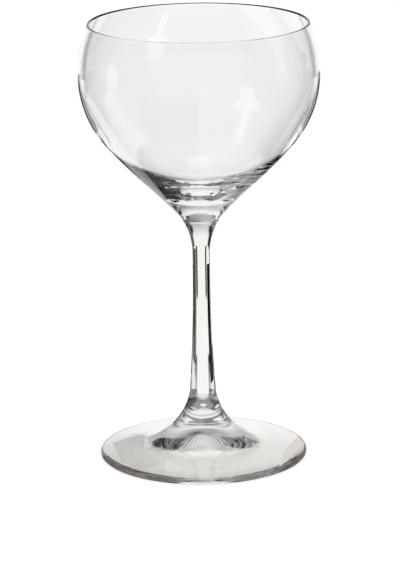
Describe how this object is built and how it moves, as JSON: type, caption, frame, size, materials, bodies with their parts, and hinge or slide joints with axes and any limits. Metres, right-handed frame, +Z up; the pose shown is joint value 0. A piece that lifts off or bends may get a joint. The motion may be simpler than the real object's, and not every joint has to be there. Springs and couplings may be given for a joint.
{
  "type": "nick and nora glass",
  "caption": "Clear stemmed cocktail glass: a deep round bowl drawn in to a cone, a solid stem with a slim waist, and a low spun foot.",
  "frame": {"origin": "centre of the flat ring that the glass stands on, on the glass's axis", "axes": "+Z up along the axis of the stem, from the foot to the lip; the glass is round, so X and Y are free"},
  "size_m": [0.078, 0.078, 0.1443],
  "materials": {
    "clear_glass": "clear, fire-polished, high gloss"
  },
  "bodies": {
    "root": {"bowl": "clear_glass", "stem": "clear_glass", "foot": "clear_glass"}
  },
  "joints": []
}
